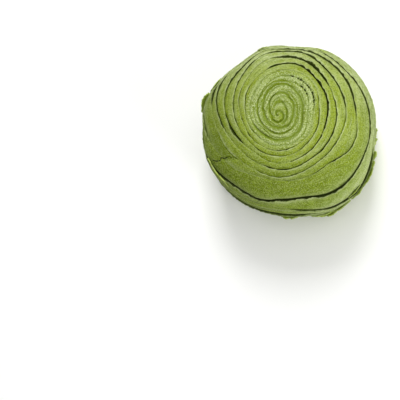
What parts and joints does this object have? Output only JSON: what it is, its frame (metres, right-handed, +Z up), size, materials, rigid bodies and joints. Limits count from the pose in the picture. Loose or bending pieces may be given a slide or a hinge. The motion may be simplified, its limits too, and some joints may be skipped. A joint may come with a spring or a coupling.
{
  "type": "matcha flaky pastry",
  "caption": "Whole round green matcha flaky pastry: rolled dough layers in a spiral from an eye on top down to a flat base, with raised torn edges.",
  "frame": {"origin": "middle of the base, on the plane the pastry stands on", "axes": "+Z up from the base to the eye of the spiral; +X and +Y across the pastry, as its right and up in the source picture"},
  "size_m": [0.0618, 0.0612, 0.044],
  "materials": {
    "pastry": "matte, dusty baked dough"
  },
  "bodies": {
    "root": {"pastry": "pastry"}
  },
  "joints": []
}
